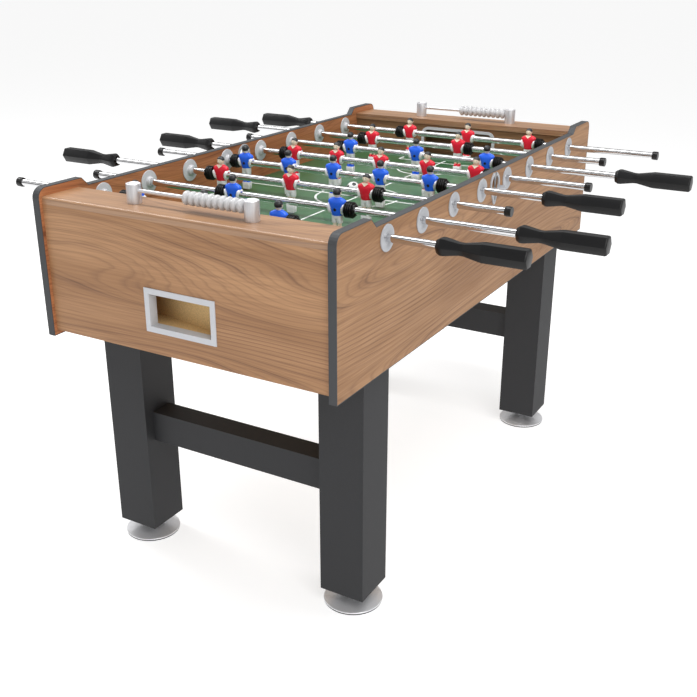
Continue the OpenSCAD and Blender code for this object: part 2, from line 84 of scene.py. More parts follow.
# %% Floor, sky and lamps
def plain_finish(name, colour, roughness, glow):
    """A material with one colour and a little light of its own."""
    made = bpy.data.materials.new(name)
    made.use_nodes = True
    shader = made.node_tree.nodes["Principled BSDF"]
    shader.inputs["Base Color"].default_value = (*colour, 1)
    shader.inputs["Roughness"].default_value = roughness
    shader.inputs["Specular IOR Level"].default_value = 0.0
    shader.inputs["Emission Color"].default_value = (1, 1, 1, 1)
    shader.inputs["Emission Strength"].default_value = glow
    return made


def link_object(name, mesh):
    """Puts a mesh in the scene as an object that sits at the origin."""
    made = bpy.data.objects.new(name, mesh)
    bpy.context.scene.collection.objects.link(made)
    return made


def studio_floor():
    """A wide pale sheet under the table."""
    sheet = bmesh.new()
    bmesh.ops.create_grid(sheet, x_segments=1, y_segments=1, size=60)
    mesh = bpy.data.meshes.new("studio_floor")
    sheet.to_mesh(mesh)
    sheet.free()
    floor = link_object("studio_floor", mesh)
    mesh.materials.append(plain_finish("floor_white", (0.60, 0.60, 0.60), 1.0,
                                       0.64))


def soft_lamp(name, place, aim, length, width, power):
    """A lamp with an even glowing face, turned towards its aim."""
    data = bpy.data.lights.new(name, "AREA")
    data.shape = "RECTANGLE"
    data.size = length
    data.size_y = width
    data.energy = power
    lamp = bpy.data.objects.new(name, data)
    bpy.context.scene.collection.objects.link(lamp)
    lamp.location = place
    way = Vector(aim) - Vector(place)
    lamp.rotation_euler = way.to_track_quat("-Z", "Y").to_euler()


studio_floor()
world = bpy.data.worlds.new("studio_sky")
bpy.context.scene.world = world
world.use_nodes = True
tree = world.node_tree
sky = tree.nodes["Background"]
sky.inputs["Strength"].default_value = 0.72
height = tree.nodes.new("ShaderNodeSeparateXYZ")
direction = tree.nodes.new("ShaderNodeTexCoord").outputs["Generated"]
tree.links.new(direction, height.inputs[0])
bands = tree.nodes.new("ShaderNodeValToRGB")
tree.links.new(height.outputs["Z"], bands.inputs["Fac"])
tree.links.new(bands.outputs["Color"], sky.inputs["Color"])
for position, grey in ((0.0, 0.08), (0.22, 0.12), (0.34, 1.20), (0.48, 1.30),
                       (0.60, 0.60), (0.80, 0.34)):
    stop = bands.color_ramp.elements.new(position)
    stop.color = (grey, grey, grey, 1)
soft_lamp("key_lamp", (2.6, -2.2, 3.4), (0, 0, 0.6), 1.95, 1.95, 54)
soft_lamp("top_lamp", (-1.2, 0.0, 3.4), (-1.2, 0.0, 0.7), 6.5, 0.7, 128)
bpy.context.scene.view_settings.view_transform = "Standard"

# %% [markdown]
# ## A small kit for finishes
#
# Every finish below is a chain of shader nodes. A small class keeps them
# readable: it starts a material, and its methods add one node each. All
# patterns read Object coordinates, in metres, because each piece sits at the
# origin with its place in its mesh.

# %% Helpers for materials
class Finish:
    """A material under construction."""

    def __init__(self, name, roughness=0.5, metallic=0.0, colour=None):
        self.material = bpy.data.materials.new(name)
        self.material.use_nodes = True
        self.tree = self.material.node_tree
        self.shader = self.tree.nodes["Principled BSDF"]
        self.shader.inputs["Roughness"].default_value = roughness
        self.shader.inputs["Metallic"].default_value = metallic
        if colour:
            self.shader.inputs["Base Color"].default_value = (*colour, 1)
        self.place = self.add("ShaderNodeTexCoord").outputs["Object"]

    def add(self, kind, **settings):
        made = self.tree.nodes.new(kind)
        for key, value in settings.items():
            setattr(made, key, value)
        return made

    def feed(self, socket, value):
        """Links a socket to another, or sets it to a number or a colour."""
        if isinstance(value, bpy.types.NodeSocket):
            self.tree.links.new(value, socket)
        elif socket.type == "RGBA" and len(value) == 3:
            socket.default_value = (*value, 1)
        else:
            socket.default_value = value

    def sum(self, operation, a, b=0.0, c=0.0):
        made = self.add("ShaderNodeMath", operation=operation)
        for socket, value in zip(made.inputs, (a, b, c)):
            self.feed(socket, value)
        return made.outputs[0]

    def stretch(self, scale):
        made = self.add("ShaderNodeMapping")
        self.feed(made.inputs["Vector"], self.place)
        self.feed(made.inputs["Scale"], scale)
        return made.outputs["Vector"]

    def noise(self, vector, scale=1.0, detail=3.0, roughness=0.5):
        made = self.add("ShaderNodeTexNoise")
        self.feed(made.inputs["Vector"], vector)
        self.feed(made.inputs["Scale"], scale)
        self.feed(made.inputs["Detail"], detail)
        self.feed(made.inputs["Roughness"], roughness)
        return made.outputs["Fac"]

    def ramp(self, value, stops):
        """Colours or greys by value; stops are (position, colour)."""
        made = self.add("ShaderNodeValToRGB")
        self.feed(made.inputs["Fac"], value)
        bar = made.color_ramp.elements
        while len(bar) < len(stops):
            bar.new(1.0)
        for element, (position, colour) in zip(bar, stops):
            if isinstance(colour, (int, float)):
                colour = (colour, colour, colour)
            element.position = position
            element.color = (*colour, 1)
        return made.outputs["Color"]

    def mix(self, amount, a, b, blend="MIX"):
        made = self.add("ShaderNodeMix", data_type="RGBA", blend_type=blend)
        self.feed(made.inputs[0], amount)
        self.feed(made.inputs[6], a)
        self.feed(made.inputs[7], b)
        return made.outputs[2]

    def colour(self, value):
        self.feed(self.shader.inputs["Base Color"], value)

    def rough(self, value):
        self.feed(self.shader.inputs["Roughness"], value)

    def bump(self, height, depth, strength=1.0):
        made = self.add("ShaderNodeBump")
        self.feed(made.inputs["Height"], height)
        self.feed(made.inputs["Distance"], depth)
        self.feed(made.inputs["Strength"], strength)
        self.feed(self.shader.inputs["Normal"], made.outputs["Normal"])


def paint(name, finish):
    """Gives a CAD node a finish in place of its plain packed one."""
    mesh = node[name].data
    mesh.materials.clear()
    mesh.materials.append(finish.material)


print("kit ready")

# %% [markdown]
# ## Woodgrain laminate
#
# The boards wear a printed walnut on a warm tan ground: dark lines that run
# along the board and close into pointed arches. They are drawn as a map
# maker draws hills. A slow noise, stretched along the grain, is the height,
# and wherever the height plus the distance across the board passes a whole
# number there is a line. A noise in the amount of dark makes some lines fade
# out. A second set of thinner lines lies between them, and fine streaks run
# over everything. The inner faces of the side panels are tinted redder,
# painted shade for the shade inside the table.

# %% The woodgrain recipe
def woodgrain(name, grain, tone=1.0, seed=0.0, sheen=0.42, gloss=0.35,
              painted_shade_inside=None):
    """Laminate whose grain runs along axis number grain (0 is X, 1 is Y).

    The last argument, a distance in X, paints shade: a redder tone on all that
    lies nearer the middle than that distance."""
    wood = Finish(name, roughness=sheen)
    wood.shader.inputs["Specular IOR Level"].default_value = gloss
    split = wood.add("ShaderNodeSeparateXYZ")
    wood.feed(split.inputs[0], wood.place)
    x, y, z = split.outputs
    along = (x, y)[grain]
    other = (y, x)[grain]
    # the two directions across the grain share one count, so that every
    # face of the board shows lines
    across = wood.sum("MULTIPLY_ADD", other, 0.83, z)
    hills = wood.add("ShaderNodeCombineXYZ")
    wood.feed(hills.inputs[0], wood.sum("MULTIPLY_ADD", along, 1.1, seed))
    wood.feed(hills.inputs[1], wood.sum("MULTIPLY", across, 8.5))
    wood.feed(hills.inputs[2], seed * 1.7)
    hills = hills.outputs[0]
    slow = wood.noise(hills, scale=1.0, detail=0.7, roughness=0.30)
    quick = wood.noise(hills, scale=3.0, detail=2.0, roughness=0.50)
    count = wood.sum("MULTIPLY", across, 50.0)
    count = wood.sum("MULTIPLY_ADD", slow, 13.0, count)
    count = wood.sum("MULTIPLY_ADD", quick, 0.35, count)
    line = wood.ramp(wood.sum("FRACT", count),
                     [(0.0, 1.0), (0.04, 0.35), (0.12, 0.05), (0.60, 0.0),
                      (0.84, 0.22), (0.94, 0.50), (0.985, 1.0)])
    between = wood.sum("MULTIPLY_ADD", count, 3.0, quick)
    thin_line = wood.ramp(wood.sum("FRACT", between),
                          [(0.0, 0.7), (0.14, 0.0), (0.72, 0.0), (1.0, 1.0)])
    fade = wood.ramp(wood.noise(hills, scale=1.9, detail=2.0),
                     [(0.34, 0.12), (0.60, 1.0)])
    streaks = wood.add("ShaderNodeCombineXYZ")
    wood.feed(streaks.inputs[0], wood.sum("MULTIPLY", along, 7.0))
    wood.feed(streaks.inputs[1], wood.sum("MULTIPLY", other, 240.0))
    wood.feed(streaks.inputs[2], wood.sum("MULTIPLY", z, 240.0))
    streak = wood.noise(streaks.outputs[0], scale=1.0, detail=2.5)
    cloud = wood.noise(hills, scale=1.6, detail=2.0)
    pale = tuple(c * tone for c in (0.475, 0.262, 0.130))
    base = tuple(c * tone for c in (0.365, 0.190, 0.088))
    dark = tuple(c * tone for c in (0.140, 0.064, 0.036))
    ground = wood.mix(wood.ramp(cloud, [(0.36, 0.0), (0.62, 1.0)]), base, pale)
    ground = wood.mix(wood.ramp(streak, [(0.38, 0.0), (0.78, 0.34)]),
                      ground, dark)
    ground = wood.mix(wood.sum("MULTIPLY", thin_line, 0.32), ground, dark)
    line = wood.mix(1.0, line, fade, "MULTIPLY")
    face = wood.mix(wood.sum("MULTIPLY", line, 0.78), ground, dark)
    # painted shade: a redder tone on the inner faces of the side panels, for
    # the shade inside the table
    if painted_shade_inside:
        inside = wood.sum("LESS_THAN", wood.sum("ABSOLUTE", x), painted_shade_inside)
        face = wood.mix(inside, face,
                        wood.mix(1.0, face, (1.22, 0.90, 0.78), "MULTIPLY"))
    wood.colour(face)
    wood.rough(wood.ramp(streak, [(0.3, sheen - 0.04), (0.7, sheen + 0.08)]))
    wood.bump(streak, 0.00012, 0.35)
    return wood


side_low, side_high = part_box("side_panel_right")
# the side panels' inner faces get painted shade, a redder tone
side_wood = woodgrain("side_woodgrain", grain=1, tone=0.92, seed=3.1,
                      sheen=0.5, gloss=0.2, painted_shade_inside=side_low.x + 0.0005)
end_wood = woodgrain("end_woodgrain", grain=0, tone=1.12, seed=7.4)
top_wood = woodgrain("top_woodgrain", grain=0, tone=0.96, seed=1.9, sheen=0.36,
                     gloss=1.0)
# painted shade: the goal walls get the same wood at a darker tone (0.78) for
# the shade inside the table
shaded_goal_wood = woodgrain("inner_woodgrain", grain=0, tone=0.78, seed=5.2)
for name in ("side_panel_left", "side_panel_right"):
    paint(name, side_wood)
for name in ("end_panel_front", "end_panel_rear"):
    paint(name, end_wood)
paint("end_top_boards", top_wood)
paint("goal_walls", shaded_goal_wood)
print("wood finishes:", [m.name for m in bpy.data.materials
                         if "woodgrain" in m.name])

# %% [markdown]
# ## Plain finishes that still have life
#
# Moulded plastic, painted board, brushed metal and raw fibreboard are close
# to one colour, yet none of them is flat. A faint speckle in the colour and
# a fine bump are enough. Chrome is nearly a mirror, so it has no bump at all:
# its only texture is a slight change of roughness along the rod.

# %% Board, plastic and metal finishes
def speckled(name, colour, spread, grain_size, roughness, depth=0.00008,
             metallic=0.0):
    """Colour that varies a little, with a bump of the same grain."""
    made = Finish(name, roughness=roughness, metallic=metallic)
    speck = made.noise(made.place, scale=1.0 / grain_size, detail=3.0)
    low = tuple(c * (1 - spread) for c in colour)
    high = tuple(min(1.0, c * (1 + spread)) for c in colour)
    made.colour(made.ramp(speck, [(0.30, low), (0.70, high)]))
    made.rough(made.ramp(speck, [(0.3, roughness - 0.05),
                                 (0.7, min(1.0, roughness + 0.06))]))
    made.bump(speck, depth, 0.5)
    return made


def brushed(name, colour, roughness, axis):
    """Metal with fine lines along one axis."""
    made = Finish(name, roughness=roughness, metallic=1.0)
    scale = [900.0, 900.0, 900.0]
    scale[axis] = 12.0
    lines = made.noise(made.stretch(scale), scale=1.0, detail=2.0)
    low = tuple(c * 0.86 for c in colour)
    made.colour(made.ramp(lines, [(0.35, low), (0.65, colour)]))
    made.rough(made.ramp(lines, [(0.3, roughness - 0.06),
                                 (0.7, roughness + 0.08)]))
    made.bump(lines, 0.00003, 0.4)
    return made


banding = speckled("edge_banding", (0.052, 0.054, 0.058), 0.10, 0.0012, 0.62)
charcoal = speckled("leg_charcoal", (0.021, 0.0215, 0.024), 0.26, 0.0016, 0.66)
raw_board = speckled("raw_fibreboard", (0.78, 0.53, 0.24), 0.16, 0.0022, 0.85)
under_board = speckled("bottom_board", (0.34, 0.24, 0.15), 0.14, 0.004, 0.85)
silver = speckled("silver_paint", (0.60, 0.61, 0.64), 0.03, 0.0008, 0.34,
                  0.00003)
bearing_grey = speckled("bearing_grey", (0.42, 0.43, 0.455), 0.03, 0.0009,
                        0.38, 0.00003)
collar_grey = speckled("collar_grey", (0.60, 0.60, 0.62), 0.03, 0.0009, 0.38,
                       0.00003)
black_grip = speckled("grip_black", (0.006, 0.006, 0.0065), 0.2, 0.0007, 0.36,
                      0.00004)
black_grip.shader.inputs["Specular IOR Level"].default_value = 0.26
bumper_rubber = speckled("bumper_rubber", (0.005, 0.005, 0.005), 0.25,
                         0.001, 0.32, 0.00004)
bumper_rubber.shader.inputs["Specular IOR Level"].default_value = 0.40
pad_rubber = speckled("foot_rubber", (0.006, 0.006, 0.006), 0.2, 0.001, 0.6)
bead_grey = speckled("bead_grey", (0.60, 0.60, 0.61), 0.04, 0.001, 0.32,
                     0.00002)
scorer_metal = brushed("scorer_aluminium", (0.88, 0.88, 0.90), 0.50, 2)
foot_metal = speckled("foot_steel", (0.92, 0.92, 0.94), 0.03, 0.002, 0.40,
                      0.00003, 0.55)
screw_steel = brushed("screw_steel", (0.42, 0.42, 0.44), 0.38, 0)
chrome = Finish("rod_chrome", metallic=1.0, colour=(0.72, 0.72, 0.73))
wipe = chrome.noise(chrome.stretch((14.0, 60.0, 60.0)), detail=2.0)
chrome.rough(chrome.ramp(wipe, [(0.3, 0.07), (0.7, 0.13)]))

paint("edge_banding", banding)
for name in ("legs", "stretchers"):
    paint(name, charcoal)
paint("ball_return_boxes", raw_board)
paint("bottom_panel", under_board)
for name in ("ball_return_bezels", "goal_frames"):
    paint(name, silver)
for name in ("bearing_screws", "leg_bolts"):
    paint(name, screw_steel)
print("plain finishes:", len(bpy.data.materials))

# %% [markdown]
# ## The pitch
#
# The playing surface is a board printed green, with a slight gloss. Its
# green is uneven in broad soft patches. The white markings are printed too;
# here they are very thin flat pieces, cut from rings and strips, because a
# mesh keeps a crisp edge at any distance and exports as it is.

# %% Green board and its markings
green = Finish("pitch_green", roughness=0.36)
green.shader.inputs["Specular IOR Level"].default_value = 0.8
broad = green.noise(green.place, scale=5.0, detail=2.0)
fine = green.noise(green.place, scale=900.0, detail=2.0)
turf = green.ramp(broad, [(0.32, (0.026, 0.100, 0.036)),
                          (0.70, (0.044, 0.150, 0.058))])
turf = green.mix(green.ramp(fine, [(0.4, 0.0), (0.7, 0.16)]), turf,
                 (0.015, 0.080, 0.028))
green.colour(turf)
green.bump(fine, 0.00004, 0.4)
paint("playfield", green)

white_print = speckled("white_print", (0.78, 0.80, 0.78), 0.04, 0.002, 0.45)

# %% [markdown]
# The markings are drawn flat, as bars and as arcs that a short edge sweeps
# out, and each is lifted a hair above the last so that no two share a plane.

# %% The printed markings
LINE = 0.0055
GOAL_LINE = 0.596
CIRCLE = 0.1047
PENALTY_AREA = (0.203, 0.350)   # half width, distance of its front line
GOAL_AREA = (0.134, 0.4846)
SPOT, SPOT_RADIUS = 0.390, 0.080
pitch_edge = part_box("playfield")[1]
markings = bmesh.new()
lift = 0.0001


def lift_marking(points):
    """Lifts one finished marking clear of the others."""
    global lift
    lift += 0.00002
    bmesh.ops.translate(markings, verts=points,
                        vec=(0, 0, pitch_edge.z + lift))


def mark_strip(x0, y0, x1, y1):
    """A flat bar between two corners."""
    corners = [markings.verts.new((x, y0, 0)) for x in (x0, x1)]
    edge = markings.edges.new(corners)
    grown = bmesh.ops.extrude_edge_only(markings, edges=[edge])["geom"]
    far = [g for g in grown if isinstance(g, bmesh.types.BMVert)]
    bmesh.ops.translate(markings, verts=far, vec=(0, y1 - y0, 0))
    lift_marking(corners + far)


def mark_arc(middle_y, radius, start, sweep, steps):
    """A curved band about the point (0, middle_y)."""
    ends = [markings.verts.new((r, middle_y, 0))
            for r in (radius - LINE / 2, radius + LINE / 2)]
    edge = markings.edges.new(ends)
    before = set(markings.verts) - set(ends)
    centre = (0, middle_y, 0)
    bmesh.ops.rotate(markings, verts=ends, cent=centre,
                     matrix=Matrix.Rotation(start, 3, "Z"))
    bmesh.ops.spin(markings, geom=ends + [edge], cent=centre, axis=(0, 0, 1),
                   angle=sweep, steps=steps, use_merge=False)
    lift_marking(list(set(markings.verts) - before))


half_width = pitch_edge.x - 0.0005
mark_strip(-half_width, -LINE / 2, half_width, LINE / 2)
mark_strip(-LINE / 2, -GOAL_LINE, LINE / 2, GOAL_LINE)
mark_arc(0, CIRCLE, 0, 2 * math.pi, 96)
for end in (-1, 1):
    for reach, front in (PENALTY_AREA, GOAL_AREA):
        mark_strip(-reach, end * front - LINE / 2,
                   reach, end * front + LINE / 2)
        for side in (-reach, reach):
            mark_strip(side - LINE / 2, end * front,
                       side + LINE / 2, end * GOAL_LINE)
    # the arc in front of the penalty area
    half_turn = math.acos((SPOT - PENALTY_AREA[1]) / SPOT_RADIUS)
    mark_arc(end * SPOT, SPOT_RADIUS, -end * math.pi / 2 - half_turn,
             2 * half_turn, 32)
bmesh.ops.remove_doubles(markings, verts=markings.verts, dist=1e-6)
bmesh.ops.recalc_face_normals(markings, faces=markings.faces)
for face in markings.faces:
    if face.normal.z < 0:
        face.normal_flip()
mesh = bpy.data.meshes.new("pitch_markings")
markings.to_mesh(mesh)
markings.free()
mesh.materials.append(white_print.material)
pitch_markings = link_object("pitch_markings", mesh)
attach(pitch_markings, "cabinet")
print("markings:", len(mesh.polygons), "faces")

# %% [markdown]
# ## Turned and lofted shapes
#
# Grips, caps, bumpers and feet are turned shapes: a half outline is spun
# about an axis. The little men are lofted: a few ovals are stacked and
# bridged. Both helpers work in millimetres, which are easier to read, and the
# finished mesh is scaled to metres once. A third helper sets copies of one
# mesh at many places.

# %% Helpers for turned and lofted shapes
MM = 0.001


def tint(shape, before, tone):
    """Gives the faces made since before a material number."""
    for face in set(shape.faces) - before:
        face.material_index = tone
        face.smooth = True


def turned(shape, outline, steps, tone=0):
    """Spins points (along X, radius) about the X axis."""
    before = set(shape.faces)
    chain = [shape.verts.new((along, radius, 0)) for along, radius in outline]
    links = [shape.edges.new(pair) for pair in zip(chain, chain[1:])]
    old = set(shape.verts) - set(chain)
    bmesh.ops.spin(shape, geom=chain + links, cent=(0, 0, 0), axis=(1, 0, 0),
                   angle=2 * math.pi, steps=steps, use_merge=True)
    fresh = [v for v in shape.verts if v not in old]
    bmesh.ops.remove_doubles(shape, verts=fresh, dist=1e-4)
    made = list(set(shape.faces) - before)
    bmesh.ops.recalc_face_normals(shape, faces=made)
    tint(shape, before, tone)
    return made


def soften(shape, faces, width, steepest):
    """Rounds the edges where these faces meet at a sharp angle."""
    sharp = [e for e in {e for f in faces for e in f.edges}
             if len(e.link_faces) == 2
             and e.calc_face_angle(0) > math.radians(steepest)]
    bmesh.ops.bevel(shape, geom=sharp, offset=width, affect="EDGES",
                    segments=2, profile=0.5, material=-1,
                    clamp_overlap=True)


def oval(shape, x, y, z, wide, deep, square, segments):
    """A closed ring; a squareness under 1 pulls it towards its corners."""
    ring = bmesh.ops.create_circle(shape, segments=segments, radius=1)["verts"]
    for point in ring:
        c, s = point.co.x, point.co.y
        point.co = (x + wide * math.copysign(abs(c) ** square, c),
                    y + deep * math.copysign(abs(s) ** square, s), z)
    return list({e for point in ring for e in point.link_edges})


def lofted(shape, rings, tone, square=0.8, segments=20):
    """Bridges a stack of ovals (x, y, z, half width, half depth)."""
    before = set(shape.faces)
    loops = [oval(shape, *ring, square, segments) for ring in rings]
    for lower, upper in zip(loops, loops[1:]):
        bmesh.ops.bridge_loops(shape, edges=lower + upper)
    for end in (loops[0], loops[-1]):
        bmesh.ops.contextual_create(shape, geom=end)
    made = list(set(shape.faces) - before)
    bmesh.ops.recalc_face_normals(shape, faces=made)
    tint(shape, before, tone)


def finished(shape, name, finishes, crease=35):
    """Scales the shape to metres and makes a mesh of it."""
    bmesh.ops.scale(shape, vec=(MM, MM, MM), verts=shape.verts)
    made = bpy.data.meshes.new(name)
    shape.to_mesh(made)
    shape.free()
    made.set_sharp_from_angle(angle=math.radians(crease))
    for finish in finishes:
        made.materials.append(finish.material)
    return made


def copied(part, places, name, finishes, crease):
    """An object with a copy of the mesh at each place."""
    whole = bmesh.new()
    for place in places:
        before = set(whole.verts)
        whole.from_mesh(part)
        fresh = [v for v in whole.verts if v not in before]
        bmesh.ops.transform(whole, verts=fresh, matrix=place)
    mesh = bpy.data.meshes.new(name)
    whole.to_mesh(mesh)
    whole.free()
    mesh.set_sharp_from_angle(angle=math.radians(crease))
    for finish in finishes:
        mesh.materials.append(finish.material)
    return link_object(name, mesh)


print("shape helpers ready")

# %% [markdown]
# ## Where the rods are
#
# Each rod's place comes from its CAD pieces: the middle of its men, the
# height of its tube, and the side on which its long handle stands. The other
# end carries a small cap.

# %% Measure the eight rods
MEN = {1: 3, 2: 2, 3: 3, 4: 5, 5: 5, 6: 3, 7: 2, 8: 3}
MAN_HALF_WIDTH = 0.0215    # over the arms
rods = {}
for i in range(1, 9):
    men_low, men_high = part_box("men_%d" % i)
    rod_low, rod_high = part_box("rod_%d" % i)
    grip_low, grip_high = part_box("handle_and_cap_%d" % i)
    stop_low, stop_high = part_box("bumpers_%d" % i)
    middle = Vector(((men_low.x + men_high.x) / 2,
                     (rod_low.y + rod_high.y) / 2,
                     (rod_low.z + rod_high.z) / 2))
    side = 1 if grip_high.x - middle.x > middle.x - grip_low.x else -1
    outer = (men_high.x - men_low.x) / 2 - MAN_HALF_WIDTH
    rods[i] = {
        "middle": middle, "side": side,
        "men": [outer * (2 * k / (MEN[i] - 1) - 1) for k in range(MEN[i])],
        "handle_end": max(grip_high.x - middle.x, middle.x - grip_low.x),
        "cap_end": min(grip_high.x - middle.x, middle.x - grip_low.x),
        "bumper_end": (stop_high.x - stop_low.x) / 2,
    }
    print(i, "side", side, "men at", [round(x, 3) for x in rods[i]["men"]])


def on_rod(i, along, turn=0.0):
    """The place of a piece on rod i, with X from the men to the handle."""
    rod = rods[i]
    face = 0.0 if rod["side"] > 0 else math.pi
    return (Matrix.Translation(rod["middle"]) @ Matrix.Rotation(face, 4, "Z")
            @ Matrix.Translation((along, 0, 0))
            @ Matrix.Rotation(turn, 4, "Z"))


# %% [markdown]
# ## Rods
#
# Each rod is a polished steel tube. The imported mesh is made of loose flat
# triangles, which a mirror finish would show, so every rod is turned again
# with many steps and smooth shading, from end to end of its CAD tube.

# %% Turn the rods
BORE = 8.0        # radius of the hole in bearings, bumpers and end caps
ROD_WALL = 1.6
for i, rod in rods.items():
    rod_low, rod_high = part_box("rod_%d" % i)
    first, last = sorted((x - rod["middle"].x) / MM * rod["side"]
                         for x in (rod_low.x, rod_high.x))
    radius = (rod_high.z - rod_low.z) / 2 / MM
    inside = radius - ROD_WALL
    shape = bmesh.new()
    turned(shape, [(first, inside), (first, radius - 0.4),
                   (first + 0.4, radius), (last - 0.4, radius),
                   (last, radius - 0.4), (last, inside), (first, inside)], 56)
    mesh = finished(shape, "rod_tube_%d" % i, [chrome])
    mesh.transform(on_rod(i, 0))
    piece = link_object("rod_tube_%d" % i, mesh)
    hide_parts("rod_%d" % i)
    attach(piece, "rod_%d_spinner" % i)
print("rod radius, mm:", round(radius, 2))

# %% [markdown]
# ## Handles and end caps
#
# A handle is a six-sided moulding: a flared collar, a waist that the fingers
# close on, and a long barrel. Spinning its half outline in only six steps
# gives the flats, and a small bevel on every sharp edge gives the thin bright
# lines that a real moulding catches. The rubber end cap is round. Both are
# bored for their rod.

# %% Build the handles and caps
HANDLE_LENGTH = 174.0
HANDLE_RADIUS = 19.8
GRIP_END = 11.9    # solid plastic behind the bore
GRIP_BORE = 9.4    # corner radius of the bore, whose flats clear the rod


def grip_outline(length, r):
    """Half outline from the floor of the bore, round the mouth, to the end."""
    floor = length - GRIP_END
    shares = [(0.0, 0.70), (0.045, 0.92), (0.080, 0.92), (0.25, 0.65),
              (0.30, 0.65), (0.51, 1.0), (0.983, 1.0), (1.0, 0.90),
              (1.0, 0.0)]
    return ([(floor, 0.0), (floor, GRIP_BORE), (0.0, GRIP_BORE)]
            + [(length * a, r * b) for a, b in shares])


for i, rod in rods.items():
    shape = bmesh.new()
    barrel = turned(shape, grip_outline(HANDLE_LENGTH, HANDLE_RADIUS), 6)
    for face in barrel:
        face.smooth = False
    soften(shape, barrel, 0.55, steepest=6)
    bmesh.ops.translate(shape, verts=shape.verts,
                        vec=(rod["handle_end"] / MM - HANDLE_LENGTH, 0, 0))
    start = -rod["cap_end"] / MM
    turned(shape, [(start + x, r) for x, r in (
        (0, 0), (0, 9.9), (0.3, 10.5), (0.9, 10.8), (11.0, 10.8), (11.6, 10.3),
        (14, 10.2), (14, BORE), (2, BORE), (2, 0))], 40, 1)
    mesh = finished(shape, "handle_grip_%d" % i, [black_grip, bumper_rubber],
                    crease=24)
    mesh.transform(on_rod(i, 0))
    piece = link_object("handle_grip_%d" % i, mesh)
    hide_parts("handle_and_cap_%d" % i)
    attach(piece, "rod_%d_spinner" % i)
print("handle faces:", len(mesh.polygons))

# %% [markdown]
# ## Bearings
#
# A rod runs through the side panel in a two-part plastic bearing: outside a
# thin disc on a sleeve, inside a disc with a tapered collar. Their outlines
# are drawn outwards from the panel's faces and spun once, then set at both
# sides of every rod.

# %% Build the bearings
def ring_set(name, outline, place, finish):
    """One turned ring at each side of every rod."""
    ring = bmesh.new()
    turned(ring, outline, 56)
    part = finished(ring, "ring_part", [], crease=30)
    places = [Matrix.Translation((side * place, rod["middle"].y,
                                  rod["middle"].z))
              @ Matrix.Rotation(0.0 if side > 0 else math.pi, 4, "Z")
              for rod in rods.values() for side in (-1, 1)]
    piece = copied(part, places, name, [finish], 30)
    bpy.data.meshes.remove(part)
    return piece


OUTER = [(-17.0, BORE), (-17.0, 11.2), (-16.6, 11.5), (0.0, 11.5), (0.0, 26.0),
         (0.5, 26.5), (1.7, 26.5), (2.4, 26.1), (2.6, 25.3), (2.6, 13.6),
         (2.2, 12.9), (2.2, 10.4), (2.6, 9.9), (2.6, 8.9), (2.3, 8.3),
         (2.2, BORE), (-17.0, BORE)]
INNER = [(0.0, BORE), (0.0, 26.0), (-0.5, 26.5), (-1.7, 26.5), (-2.4, 26.1),
         (-2.6, 25.3), (-2.6, 13.6), (-3.4, 12.4), (-9.8, 10.9),
         (-10.4, 10.5), (-10.6, 9.9), (-10.6, BORE), (0.0, BORE)]
for name, outline, place, replaced, finish in (
        ("outer_bearings", OUTER, side_high.x, "rod_bearings_outer",
         bearing_grey),
        ("inner_bearings", INNER, side_low.x, "rod_bearings_inner",
         collar_grey)):
    piece = ring_set(name, outline, place, finish)
    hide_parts(replaced)
    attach(piece, "cabinet")
print("bearings on", len(rods), "rods")

# %% [markdown]
# ## Bumpers
#
# A rubber bumper stands beside the outer man at each end of a row. It has
# four thick ribs and then a narrower hub whose rim is cut into scallops. The
# ribs are turned; the scallops come from pulling every other stretch of the
# hub inwards.

# %% Build the bumpers
BUMPER_LENGTH = 22.0
RIB_PITCH = 4.8
SCALLOPS = 8


def bumper_shape(shape, start):
    """One bumper along +X, from its ribbed end at start to its hub."""
    outline = [(0, BORE)]
    for k in range(4):
        at = k * RIB_PITCH
        outline += [(at, 15.2), (at + 0.4, 16.5), (at + 1.1, 17.0),
                    (at + 1.7, 17.0), (at + 2.4, 16.5), (at + 2.8, 15.2),
                    (at + 2.9, 10.8), (at + 4.7, 10.8)]
    outline += [(19.2, 13.0), (19.5, 13.3), (21.5, 12.9),
                (BUMPER_LENGTH, 12.3), (BUMPER_LENGTH, BORE)]
    before = set(shape.verts)
    turned(shape, outline, 64)
    fresh = [v for v in shape.verts if v not in before]
    for point in fresh:
        radius = math.hypot(point.co.y, point.co.z)
        if point.co.x > 19.1 and radius > 11:
            turn = math.atan2(point.co.z, point.co.y)
            cut = 0.80 if math.sin(SCALLOPS * turn) > 0.25 else 1.0
            point.co.y *= cut
            point.co.z *= cut
    bmesh.ops.translate(shape, verts=fresh, vec=(start, 0, 0))
    return fresh


for i, rod in rods.items():
    shape = bmesh.new()
    start = rod["bumper_end"] / MM - BUMPER_LENGTH
    bumper_shape(shape, start)
    left = bumper_shape(shape, start)
    bmesh.ops.rotate(shape, verts=left, cent=(0, 0, 0),
                     matrix=Matrix.Rotation(math.pi, 3, "Z"))
    mesh = finished(shape, "ribbed_bumpers_%d" % i, [bumper_rubber])
    mesh.transform(on_rod(i, 0))
    piece = link_object("ribbed_bumpers_%d" % i, mesh)
    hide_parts("bumpers_%d" % i)
    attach(piece, "rod_%d_slider" % i)
print("bumper pair faces:", len(mesh.polygons))

# %% [markdown]
# ## The players
#
# A player is one moulding, painted in a few colours: a jersey with wide
# shoulders and an open neck, white arms that close round the rod, shorts,
# bare legs and a white block with two shoes on it. Each part is a loft of
# ovals, drawn with the rod along X and the face towards -Y. The face is a
# plain toy face. The same figure serves every man of a side.

# %% Finishes of the players
def moulded(name, colour, roughness=0.34):
    """Smooth moulded plastic, with a hint of unevenness."""
    return speckled(name, colour, 0.05, 0.0015, roughness, 0.00003)


